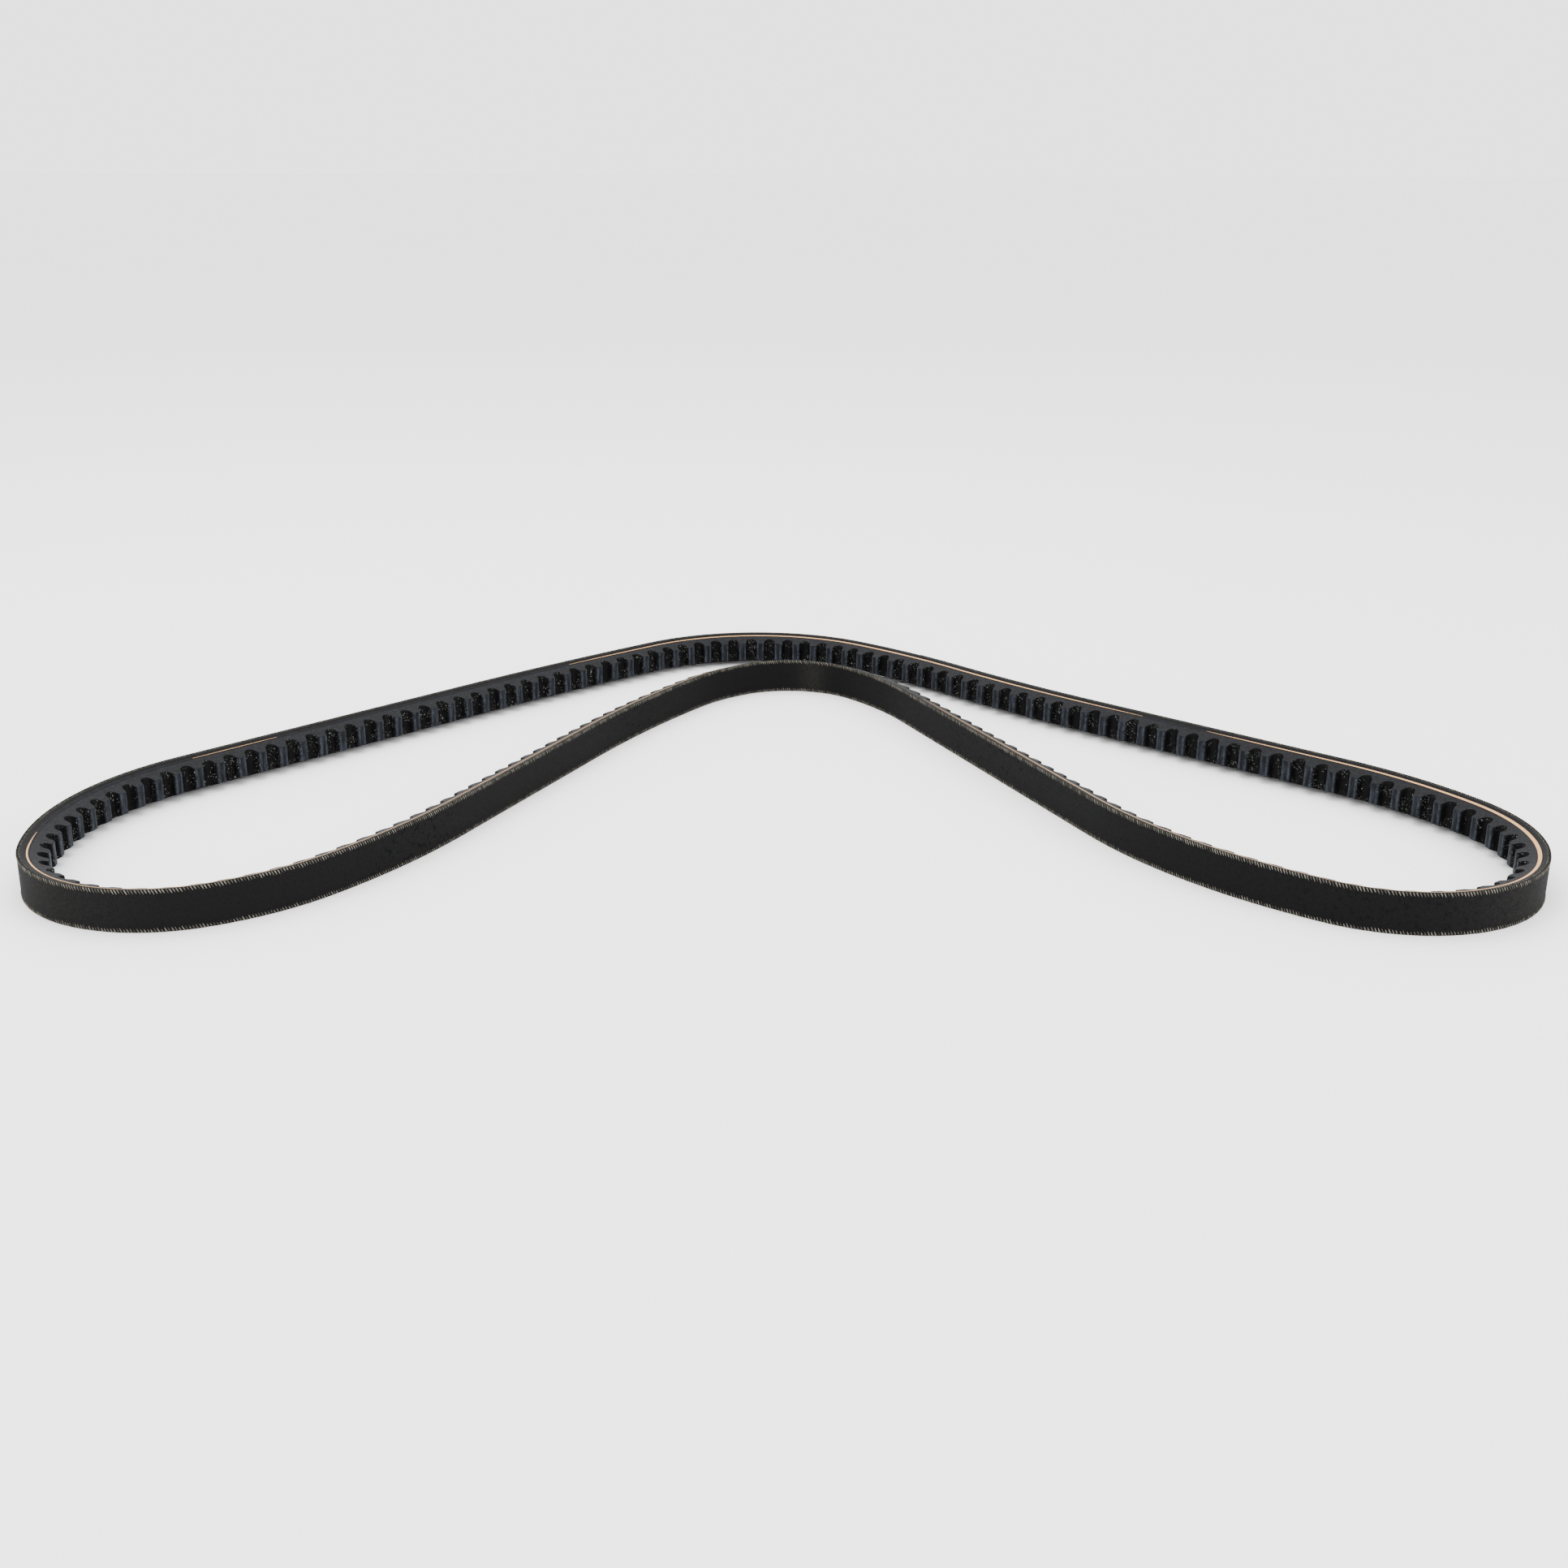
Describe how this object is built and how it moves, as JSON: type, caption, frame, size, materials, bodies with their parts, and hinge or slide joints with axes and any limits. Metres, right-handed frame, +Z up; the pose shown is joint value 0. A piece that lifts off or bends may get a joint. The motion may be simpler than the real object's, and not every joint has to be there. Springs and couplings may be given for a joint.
{
  "type": "v belt",
  "caption": "Endless raw-edge cogged V-belt lying on its edge, bent into a relaxed two-lobed loop, with tan tension cords showing in its ground flanks.",
  "frame": {"origin": "on the resting plane, under the middle of the belt's outline seen from above", "axes": "+X along the loop's longest direction, to the right seen from the front; +Y from the front run towards the rear apex; +Z up, across the belt's width"},
  "size_m": [0.4644, 0.3024, 0.013],
  "materials": {
    "cover_fabric": "worn woven",
    "inner_fabric": "woven",
    "cushion_rubber": "matte",
    "gum_rubber": "matte",
    "polyester_cord": "twisted",
    "base_rubber": "ground matte"
  },
  "bodies": {
    "rear_center": {"rear_center_outer_ply": "cover_fabric", "rear_center_inner_ply": "inner_fabric", "rear_center_cushion": "cushion_rubber", "rear_center_bonding_gum": "gum_rubber", "rear_center_tension_cords": "polyester_cord", "rear_center_cogged_base": "base_rubber"},
    "rear_right": {"rear_right_outer_ply": "cover_fabric", "rear_right_inner_ply": "inner_fabric", "rear_right_cushion": "cushion_rubber", "rear_right_bonding_gum": "gum_rubber", "rear_right_tension_cords": "polyester_cord", "rear_right_cogged_base": "base_rubber"},
    "right_end": {"right_end_outer_ply": "cover_fabric", "right_end_inner_ply": "inner_fabric", "right_end_cushion": "cushion_rubber", "right_end_bonding_gum": "gum_rubber", "right_end_tension_cords": "polyester_cord", "right_end_cogged_base": "base_rubber"},
    "front_right": {"front_right_outer_ply": "cover_fabric", "front_right_inner_ply": "inner_fabric", "front_right_cushion": "cushion_rubber", "front_right_bonding_gum": "gum_rubber", "front_right_tension_cords": "polyester_cord", "front_right_cogged_base": "base_rubber"},
    "front_center_right": {"front_center_right_outer_ply": "cover_fabric", "front_center_right_inner_ply": "inner_fabric", "front_center_right_cushion": "cushion_rubber", "front_center_right_bonding_gum": "gum_rubber", "front_center_right_tension_cords": "polyester_cord", "front_center_right_cogged_base": "base_rubber"},
    "front_center_left": {"front_center_left_outer_ply": "cover_fabric", "front_center_left_inner_ply": "inner_fabric", "front_center_left_cushion": "cushion_rubber", "front_center_left_bonding_gum": "gum_rubber", "front_center_left_tension_cords": "polyester_cord", "front_center_left_cogged_base": "base_rubber"},
    "front_left": {"front_left_outer_ply": "cover_fabric", "front_left_inner_ply": "inner_fabric", "front_left_cushion": "cushion_rubber", "front_left_bonding_gum": "gum_rubber", "front_left_tension_cords": "polyester_cord", "front_left_cogged_base": "base_rubber"},
    "left_end": {"left_end_outer_ply": "cover_fabric", "left_end_inner_ply": "inner_fabric", "left_end_cushion": "cushion_rubber", "left_end_bonding_gum": "gum_rubber", "left_end_tension_cords": "polyester_cord", "left_end_cogged_base": "base_rubber"},
    "rear_left": {"rear_left_outer_ply": "cover_fabric", "rear_left_inner_ply": "inner_fabric", "rear_left_cushion": "cushion_rubber", "rear_left_bonding_gum": "gum_rubber", "rear_left_tension_cords": "polyester_cord", "rear_left_cogged_base": "base_rubber"}
  },
  "joints": [
    {"name": "right_lobe_swing", "type": "hinge", "parent": "rear_center", "child": "rear_right", "pos_m": [0.05825, 0.11403, 0.0065], "axis": [0, 0, 1], "range_deg": [-15, 20], "stiffness_Nm_per_rad": 0.3},
    {"name": "right_end_rear_flex", "type": "hinge", "parent": "rear_right", "child": "right_end", "pos_m": [0.22886, -0.0913, 0.0065], "axis": [0, 0, 1], "range_deg": [-20, 15]},
    {"name": "right_end_front_flex", "type": "hinge", "parent": "right_end", "child": "front_right", "pos_m": [0.21834, -0.13111, 0.0065], "axis": [0, 0, 1], "range_deg": [-15, 20]},
    {"name": "front_right_flex", "type": "hinge", "parent": "front_right", "child": "front_center_right", "pos_m": [0.04775, 0.07425, 0.0065], "axis": [0, 0, 1], "range_deg": [-20, 15]},
    {"name": "left_lobe_swing", "type": "hinge", "parent": "rear_center", "child": "rear_left", "pos_m": [-0.0514, 0.1278, 0.0065], "axis": [0, 0, 1], "range_deg": [-20, 15], "stiffness_Nm_per_rad": 0.3},
    {"name": "left_end_rear_flex", "type": "hinge", "parent": "rear_left", "child": "left_end", "pos_m": [-0.22872, -0.08128, 0.0065], "axis": [0, 0, 1], "range_deg": [-15, 20]},
    {"name": "left_end_front_flex", "type": "hinge", "parent": "left_end", "child": "front_left", "pos_m": [-0.21182, -0.13522, 0.0065], "axis": [0, 0, 1], "range_deg": [-20, 15]},
    {"name": "front_left_flex", "type": "hinge", "parent": "front_left", "child": "front_center_left", "pos_m": [-0.03452, 0.07386, 0.0065], "axis": [0, 0, 1], "range_deg": [-15, 20]}
  ],
  "couplings": [
    {"joint": "right_end_rear_flex", "follows": "right_lobe_swing", "ratio": -1},
    {"joint": "right_end_front_flex", "follows": "right_lobe_swing", "ratio": 1},
    {"joint": "front_right_flex", "follows": "right_lobe_swing", "ratio": -1},
    {"joint": "left_end_rear_flex", "follows": "left_lobe_swing", "ratio": -1},
    {"joint": "left_end_front_flex", "follows": "left_lobe_swing", "ratio": 1},
    {"joint": "front_left_flex", "follows": "left_lobe_swing", "ratio": -1}
  ]
}
